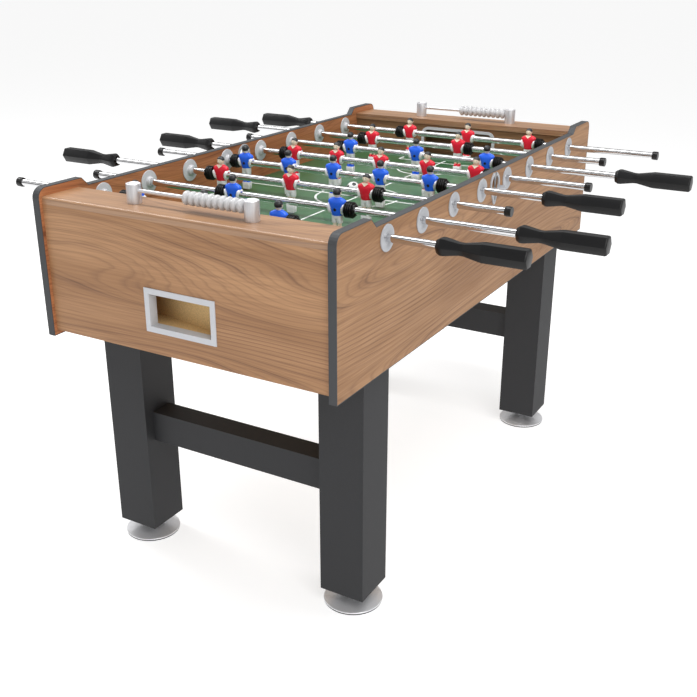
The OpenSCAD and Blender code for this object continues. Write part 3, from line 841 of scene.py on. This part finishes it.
skin = moulded("painted_skin", (0.93, 0.79, 0.62), 0.45)
white_plastic = moulded("white_plastic", (0.92, 0.91, 0.93), 0.36)
hair = moulded("painted_hair", (0.022, 0.023, 0.026), 0.40)
jerseys = {1: moulded("jersey_blue", (0.018, 0.145, 0.93), 0.33),
           -1: moulded("jersey_red", (0.82, 0.012, 0.038), 0.33)}
screw_black = moulded("screw_black", (0.010, 0.010, 0.011), 0.3)
JERSEY, SKIN, WHITE, HAIR, SCREW = range(5)

# %% Build one player
def ball_at(shape, x, y, z, a, b, c, tone, across=16, up=12):
    """A sphere stretched to the half sizes a, b and c."""
    before = set(shape.faces)
    bmesh.ops.create_uvsphere(
        shape, u_segments=across, v_segments=up, radius=1,
        matrix=Matrix.Translation((x, y, z)) @ Matrix.Diagonal((a, b, c, 1)))
    tint(shape, before, tone)


def player_body(shape):
    """Jersey, arms, shorts, legs and shoes, from ovals stacked along Z."""
    lofted(shape, [(0, 0, -15.2, 10.6, 8.6), (0, 0, -14.0, 11.3, 9.2),
                   (0, 0, -9.0, 12.0, 9.8), (0, 0, -4.0, 13.2, 10.3),
                   (0, 0, 1.0, 14.8, 10.6), (0, 0, 6.0, 17.2, 10.6),
                   (0, 0, 10.0, 19.6, 10.4), (0, 0, 13.5, 20.8, 9.8),
                   (0, 0, 16.5, 20.3, 8.8), (0, 0, 18.8, 17.8, 7.8),
                   (0, 0, 20.8, 14.0, 6.8), (0, 0, 22.4, 10.0, 6.0),
                   (0, 0, 23.6, 6.6, 5.3)],
           JERSEY, 0.8, 32)
    for side in (-1, 1):
        # arm: a flat oval that hangs from the shoulder and holds the rod
        lofted(shape, [(side * 13.8, 0, -11.4, 2.6, 3.8),
                       (side * 14.4, 0, -9.6, 4.4, 7.2),
                       (side * 15.4, 0, -4.0, 5.0, 10.3),
                       (side * 16.5, 0, 2.0, 4.9, 11.2),
                       (side * 17.3, 0, 6.5, 4.0, 10.9),
                       (side * 17.6, 0, 9.5, 2.8, 8.6),
                       (side * 17.4, 0, 11.0, 1.4, 4.4)], WHITE, 0.9, 20)
        # shorts, leg and shoe
        lofted(shape, [(side * 6.3, 0, -30.4, 4.9, 6.6),
                       (side * 6.4, 0, -29.6, 5.4, 7.2),
                       (side * 6.2, 0, -24.0, 5.6, 7.6),
                       (side * 5.9, 0, -17.0, 5.8, 8.0)], WHITE, 0.8)
        lofted(shape, [(side * 5.3, 1.0, -50.5, 3.2, 3.6),
                       (side * 5.5, 0.8, -44.0, 3.3, 3.4),
                       (side * 5.9, 0.4, -37.0, 4.0, 4.4),
                       (side * 6.1, 0.2, -29.0, 4.3, 4.9)], SKIN, 0.9, 16)
        lofted(shape, [(side * 5.1, -0.6, -50.6, 4.3, 6.8),
                       (side * 5.1, -0.6, -48.2, 4.4, 6.9),
                       (side * 5.1, -0.2, -45.6, 4.1, 6.0),
                       (side * 5.3, 0.9, -43.6, 3.5, 4.2)], JERSEY, 0.8, 16)
    lofted(shape, [(0, 0, -20.5, 11.6, 8.0), (0, 0, -16.0, 12.0, 8.6),
                   (0, 0, -14.2, 11.8, 8.9)], WHITE, 0.75, 24)


def player_block(shape):
    """The block under the shoes that strikes the ball."""
    before = set(shape.faces)
    lofted(shape, [(0, 0, -67.5, 9.6, 6.6), (0, 0, -67.0, 10.2, 7.2),
                   (0, 0, -59.0, 10.5, 7.7), (0, 0, -50.8, 10.4, 7.9),
                   (0, 0, -50.0, 9.8, 7.3)], WHITE, 0.28, 32)
    # hollow of the kicking face
    block = set(shape.faces) - before
    for v in {v for face in block for v in face.verts}:
        if -66 < v.co.z < -52 and abs(v.co.x) < 7:
            v.co.y *= 0.90


def player_head(shape):
    """Neck, head and a plain toy face."""
    lofted(shape, [(0, 0.4, 21.0, 6.6, 4.9), (0, 0.4, 24.5, 5.6, 5.0),
                   (0, 0.3, 30.0, 5.6, 5.4)], SKIN, 1.0, 20)
    before = set(shape.verts)
    ball_at(shape, 0, 0, 32.4, 8.4, 9.0, 10.0, SKIN, 28, 20)
    for v in set(shape.verts) - before:
        low = max(0.0, (32.0 - v.co.z) / 10.0)
        v.co.x *= 1 - 0.10 * low * low
        if v.co.y < 0:
            v.co.y -= 0.8 * low
    # nose, ears and eyes
    lofted(shape, [(0, -8.6, 30.2, 1.4, 1.9), (0, -8.7, 31.4, 1.1, 1.5),
                   (0, -8.3, 33.8, 0.6, 1.0)], SKIN, 1.0, 10)
    for side in (-1, 1):
        ball_at(shape, side * 8.2, 0.6, 32.2, 1.1, 1.7, 2.6, SKIN, 10, 8)
        ball_at(shape, side * 3.0, -8.1, 33.9, 0.9, 0.6, 0.7, HAIR, 8, 6)


def player_hair(shape):
    """A cap of hair: a sphere cut by a plane from forehead to nape."""
    cap = bmesh.new()
    bmesh.ops.create_uvsphere(
        cap, u_segments=32, v_segments=22, radius=1,
        matrix=Matrix.Translation((0, 0.5, 33.7))
        @ Matrix.Diagonal((8.9, 9.3, 9.1, 1)))
    cut = bmesh.ops.bisect_plane(
        cap, geom=cap.verts[:] + cap.edges[:] + cap.faces[:],
        plane_co=(0, -8.4, 37.4), plane_no=(0, -0.60, -0.80),
        clear_outer=True)["geom_cut"]
    rim = [g for g in cut if isinstance(g, bmesh.types.BMEdge)]
    bmesh.ops.holes_fill(cap, edges=rim)
    part = bpy.data.meshes.new("hair_part")
    cap.to_mesh(part)
    cap.free()
    before = set(shape.faces)
    shape.from_mesh(part)
    tint(shape, before, HAIR)
    bpy.data.meshes.remove(part)


def player_details(shape):
    """The open neck of the jersey and the screw in the back."""
    before = set(shape.faces)
    corners = [shape.verts.new(c) for c in
               ((-8.8, -5.7, 22.4), (0, -9.7, 15.6), (8.8, -5.7, 22.4),
                (0, -5.6, 23.9))]
    patch = shape.faces.new(corners)
    grown = bmesh.ops.extrude_face_region(shape, geom=[patch])["geom"]
    front = [g for g in grown if isinstance(g, bmesh.types.BMVert)]
    bmesh.ops.translate(shape, verts=front, vec=(0, -0.55, 0.25))
    made = list(set(shape.faces) - before)
    bmesh.ops.recalc_face_normals(shape, faces=made)
    tint(shape, before, SKIN)
    for face in made:
        face.smooth = False
    before = set(shape.faces)
    bmesh.ops.create_cone(
        shape, cap_ends=True, segments=24, radius1=3.6, radius2=3.1, depth=1.2,
        matrix=Matrix.Translation((0, 10.7, -1.5))
        @ Matrix.Rotation(-math.pi / 2, 4, "X"))
    tint(shape, before, SCREW)


player = bmesh.new()
player_body(player)
player_block(player)
player_head(player)
player_hair(player)
player_details(player)
player_mesh = finished(player, "player", [], crease=50)
print("one player has", len(player_mesh.polygons), "faces")

# %% [markdown]
# Blue sides with the handles on the right face the far goal, red ones the
# near goal. Both face against the Y of their own rod, so one half turn in
# the rod's frame serves all eight rows.

# %% Put the players on their rods
for i, rod in rods.items():
    places = [on_rod(i, along, math.pi) for along in rod["men"]]
    piece = copied(player_mesh, places, "men_figures_%d" % i,
                   [jerseys[rod["side"]], skin, white_plastic, hair,
                    screw_black], 50)
    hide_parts("men_%d" % i)
    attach(piece, "rod_%d_spinner" % i)
    print(piece.name, len(piece.data.polygons), "faces")
bpy.data.meshes.remove(player_mesh)

# %% [markdown]
# ## The ball
#
# A football has twelve black five-sided patches and twenty white six-sided
# ones. Cutting the corners off an icosahedron gives exactly that pattern.
# The patches are then divided and pushed out to a true sphere.

# %% Build the ball
ball_low, ball_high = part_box("ball")
ball_middle = (ball_low + ball_high) / 2
ball_radius = (ball_high.z - ball_low.z) / 2
shape = bmesh.new()
bmesh.ops.create_icosphere(shape, subdivisions=1, radius=1)
edge_length = shape.edges[:][0].calc_length()
bmesh.ops.bevel(shape, geom=shape.verts[:], offset=edge_length / 3,
                affect="VERTICES", segments=1, profile=0.5, material=-1)
for face in shape.faces:
    face.material_index = 1 if len(face.verts) == 5 else 0
bmesh.ops.poke(shape, faces=shape.faces[:])
bmesh.ops.subdivide_edges(shape, edges=shape.edges[:], cuts=3,
                          use_grid_fill=True)
for v in shape.verts:
    v.co = v.co.normalized() * (ball_radius - 0.00004)
for face in shape.faces:
    face.smooth = True
bmesh.ops.transform(shape, verts=shape.verts,
                    matrix=Matrix.Translation(ball_middle)
                    @ Matrix.Rotation(0.5, 4, "X")
                    @ Matrix.Rotation(0.4, 4, "Y"))
mesh = bpy.data.meshes.new("match_ball")
shape.to_mesh(mesh)
shape.free()
ball_white = moulded("ball_white", (0.80, 0.80, 0.79), 0.30)
ball_black = moulded("ball_black", (0.010, 0.010, 0.011), 0.30)
mesh.materials.append(ball_white.material)
mesh.materials.append(ball_black.material)
match_ball = link_object("match_ball", mesh)
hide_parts("ball")
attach(match_ball, "ball")
print("ball radius, mm:", round(ball_radius / MM, 2))

# %% [markdown]
# ## Levelling feet
#
# Each foot is a dished steel disc on a black rubber pad, with a collar and a
# threaded stem that screws into the leg to level the table. All of it is
# turned, so the outline is spun about the vertical.

# %% Build the feet
for k in range(1, 5):
    foot_low, foot_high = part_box("foot_%d" % k)
    middle = (foot_low + foot_high) / 2
    radius = (foot_high.x - foot_low.x) / 2 / MM
    top = foot_high.z / MM
    shape = bmesh.new()
    # disc, collar and stem, and then the rubber pad, from the floor up
    turned(shape, [(3.2, 0), (3.2, radius - 0.6), (3.7, radius),
                   (5.4, radius), (6.2, radius - 0.8), (8.6, 48), (11.6, 31),
                   (14.6, 16), (15.6, 13.2), (17.2, 11.4), (18.2, 11.0),
                   (38.4, 11.0), (39.0, 10.4), (39.0, 6.0),
                   (top - 1.5, 6.0), (top, 4.5), (top, 0)], 72, 0)
    turned(shape, [(0, 0), (0, radius - 1.6), (0.5, radius - 0.8),
                   (2.9, radius - 0.8), (3.2, radius - 1.2), (3.2, 0)], 72, 1)
    bmesh.ops.rotate(shape, verts=shape.verts, cent=(0, 0, 0),
                     matrix=Matrix.Rotation(-math.pi / 2, 3, "Y"))
    mesh = finished(shape, "levelling_foot_%d" % k, [foot_metal, pad_rubber],
                    crease=30)
    mesh.transform(Matrix.Translation((middle.x, middle.y, 0)))
    piece = link_object("levelling_foot_%d" % k, mesh)
    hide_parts("foot_%d" % k)
    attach(piece, "foot_%d" % k)
print("foot radius, mm:", round(radius, 1))

# %% [markdown]
# ## Scorers
#
# On each end board a row of ten beads slides on a bar between two short
# aluminium posts. The posts have a dished top, and the beads are ribbed like
# a stack of rounded rings.

# %% Build the scorers
def lathe_copies(name, outline, places, turn, finish, steps):
    """The same turned shape at each of the places."""
    part = bmesh.new()
    turned(part, outline, steps)
    part = finished(part, "part", [], crease=30)
    piece = copied(part, [Matrix.Translation(spot) @ turn for spot in places],
                   name, [finish], 30)
    bpy.data.meshes.remove(part)
    return piece


UPRIGHT = Matrix.Rotation(-math.pi / 2, 4, "Y")
LEVEL = Matrix.Identity(4)
post_low, post_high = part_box("scorer_posts")
bar_low, bar_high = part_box("scorer_bars")
POST_RADIUS = 15.0
bar_radius = (bar_high.z - bar_low.z) / 2 / MM
bar_height = (bar_high.z + bar_low.z) / 2
post_x = post_high.x - POST_RADIUS * MM
post_y = post_high.y - POST_RADIUS * MM
tall = (post_high.z - post_low.z) / MM
posts = lathe_copies(
    "scorer_columns",
    [(0, 0), (0, 14.6), (0.5, POST_RADIUS), (tall - 1.6, POST_RADIUS),
     (tall - 0.6, 14.6), (tall, 13.6), (tall, 12.4), (tall - 0.4, 11.6),
     (tall - 1.3, 11.0), (tall - 1.6, 9.0), (tall - 1.7, 0)],
    [(x, y, post_low.z) for x in (-post_x, post_x) for y in (-post_y, post_y)],
    UPRIGHT, scorer_metal, 64)
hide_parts("scorer_posts")
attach(posts, "cabinet")
reach = bar_high.x / MM
bars = lathe_copies(
    "scorer_rails",
    [(-reach, 0), (-reach, bar_radius - 0.3), (-reach + 0.3, bar_radius),
     (reach - 0.3, bar_radius), (reach, bar_radius - 0.3), (reach, 0)],
    [(0, y, bar_height) for y in (-post_y, post_y)], LEVEL, scorer_metal, 40)
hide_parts("scorer_bars")
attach(bars, "cabinet")
BEADS = 10
for end in ("front", "rear"):
    bead_low, bead_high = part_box("scorer_beads_" + end)
    pitch = (bead_high.x - bead_low.x) / MM / BEADS
    r = (bead_high.z - bead_low.z) / 2 / MM
    hole = bar_radius + 0.05
    ribs = lathe_copies(
        "ribbed_beads_" + end,
        [(0.1, hole), (0.1, 8.3), (0.5, 8.8), (1.8, 9.0), (2.4, 10.4),
         (3.2, 12.2), (4.4, 13.4), (5.8, r - 0.1), (pitch / 2, r),
         (pitch - 5.8, r - 0.1), (pitch - 4.4, 13.4), (pitch - 3.2, 12.2),
         (pitch - 2.4, 10.4), (pitch - 1.8, 9.0), (pitch - 0.5, 8.8),
         (pitch - 0.1, 8.3), (pitch - 0.1, hole), (0.1, hole)],
        [(bead_low.x + k * pitch * MM, (bead_low.y + bead_high.y) / 2,
          bar_height) for k in range(BEADS)], LEVEL, bead_grey, 44)
    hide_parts("scorer_beads_" + end)
    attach(ribs, "scorer_beads_" + end)
print("bead pitch, mm:", round(pitch, 2), "posts", round(tall, 1), "mm tall")

# %% [markdown]
# ## Ball entry cups
#
# The ball goes in through a hole in the middle of each side. Outside it has a
# drop-shaped plate, pointed at the foot where a screw holds it, and a scoop
# under the hole. Inside it has a plain ring. The plate is a band between two
# closed loops, one round the outline and one round the hole, with the same
# number of points in each.

# %% Build the cups
def band(shape, loops, closed=True):
    """Joins rows of points, each to the next, and the last to the first."""
    rows = [[shape.verts.new(point) for point in loop] for loop in loops]
    pairs = list(zip(rows, rows[1:]))
    if closed:
        pairs.append((rows[-1], rows[0]))
    for one, two in pairs:
        count = len(one)
        for k in range(count):
            j = (k + 1) % count
            shape.faces.new((one[k], one[j], two[j], two[k]))


RING, HOLE = 26.5, 19.5
TIP_DROP, TIP = 43.0, 6.0
LIP = 26.0
lean = math.acos((RING - TIP) / TIP_DROP)


def drop_outline(inset, steps=96):
    """Radius of the drop shape in each direction from the hole's middle."""
    points = []
    for k in range(steps):
        turn = 2 * math.pi * k / steps
        away = abs((turn + math.pi / 2 + math.pi) % (2 * math.pi) - math.pi)
        big, small = RING - inset, TIP - inset
        side = big / math.cos(away - lean) if away < lean else big
        # the tip is a small circle that the straight sides touch
        under = TIP_DROP * math.sin(away)
        if under < small:
            side = min(side, TIP_DROP * math.cos(away)
                       + math.sqrt(small ** 2 - under ** 2))
        points.append((side * math.cos(turn), side * math.sin(turn)))
    return points


def ring_outline(radius, steps=96):
    return [(radius * math.cos(2 * math.pi * k / steps),
             radius * math.sin(2 * math.pi * k / steps)) for k in range(steps)]


cup_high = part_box("ball_entry_cups")[1]
cup_z = cup_high.z - RING * MM
shape = bmesh.new()
for way in (-1, 1):
    fresh = set(shape.verts)
    at = side_high.x / MM
    band(shape, [[(at + x, y, z) for y, z in flat] for x, flat in (
        (0, drop_outline(0)), (2.3, drop_outline(0)), (3.0, drop_outline(0.8)),
        (3.0, ring_outline(HOLE + 0.6)), (2.6, ring_outline(HOLE)),
        (0, ring_outline(HOLE)))])
    inner = side_low.x / MM
    band(shape, [[(inner + x, y, z) for y, z in flat] for x, flat in (
        (0, ring_outline(RING)), (-1.5, ring_outline(RING)),
        (-2.0, ring_outline(RING - 0.6)), (-2.0, ring_outline(HOLE + 0.4)),
        (-1.6, ring_outline(HOLE)), (0, ring_outline(HOLE)))])
    # scoop: the lower part of a tube, cut to a round front
    first = math.asin(6.0 / HOLE)
    rows = []
    for k in range(41):
        turn = -first - (math.pi - 2 * first) * k / 40
        rows.append([])
        for radius, front in ((HOLE, 0), (HOLE + 3, 0), (HOLE + 3, 1),
                              (HOLE, 1)):
            y, z = radius * math.cos(turn), radius * math.sin(turn)
            far = math.sqrt(max(0.0, LIP ** 2 - y ** 2))
            rows[-1].append((at + (far if front else 2.0), y, z))
    band(shape, rows, closed=False)
    for row in (rows[0], rows[-1]):
        shape.faces.new([shape.verts.new(point) for point in row])
    # the screw in the foot of the plate
    screw = bmesh.ops.create_cone(
        shape, cap_ends=True, segments=24, radius1=2.4, radius2=1.9, depth=0.8,
        matrix=Matrix.Translation((at + 3.1, 0, -TIP_DROP))
        @ Matrix.Rotation(math.pi / 2, 4, "Y"))
    for face in {f for v in screw["verts"] for f in v.link_faces}:
        face.material_index = 1
    made = [v for v in shape.verts if v not in fresh]
    if way < 0:
        bmesh.ops.rotate(shape, verts=made, cent=(0, 0, 0),
                         matrix=Matrix.Rotation(math.pi, 3, "Z"))
bmesh.ops.remove_doubles(shape, verts=shape.verts[:], dist=1e-4)
bmesh.ops.recalc_face_normals(shape, faces=shape.faces[:])
for face in shape.faces:
    face.smooth = True
mesh = finished(shape, "entry_cups", [bearing_grey, screw_steel], crease=30)
mesh.transform(Matrix.Translation((0, 0, cup_z)))
cups = link_object("entry_cups", mesh)
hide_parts("ball_entry_cups")
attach(cups, "cabinet")
print("cup faces:", len(mesh.polygons))
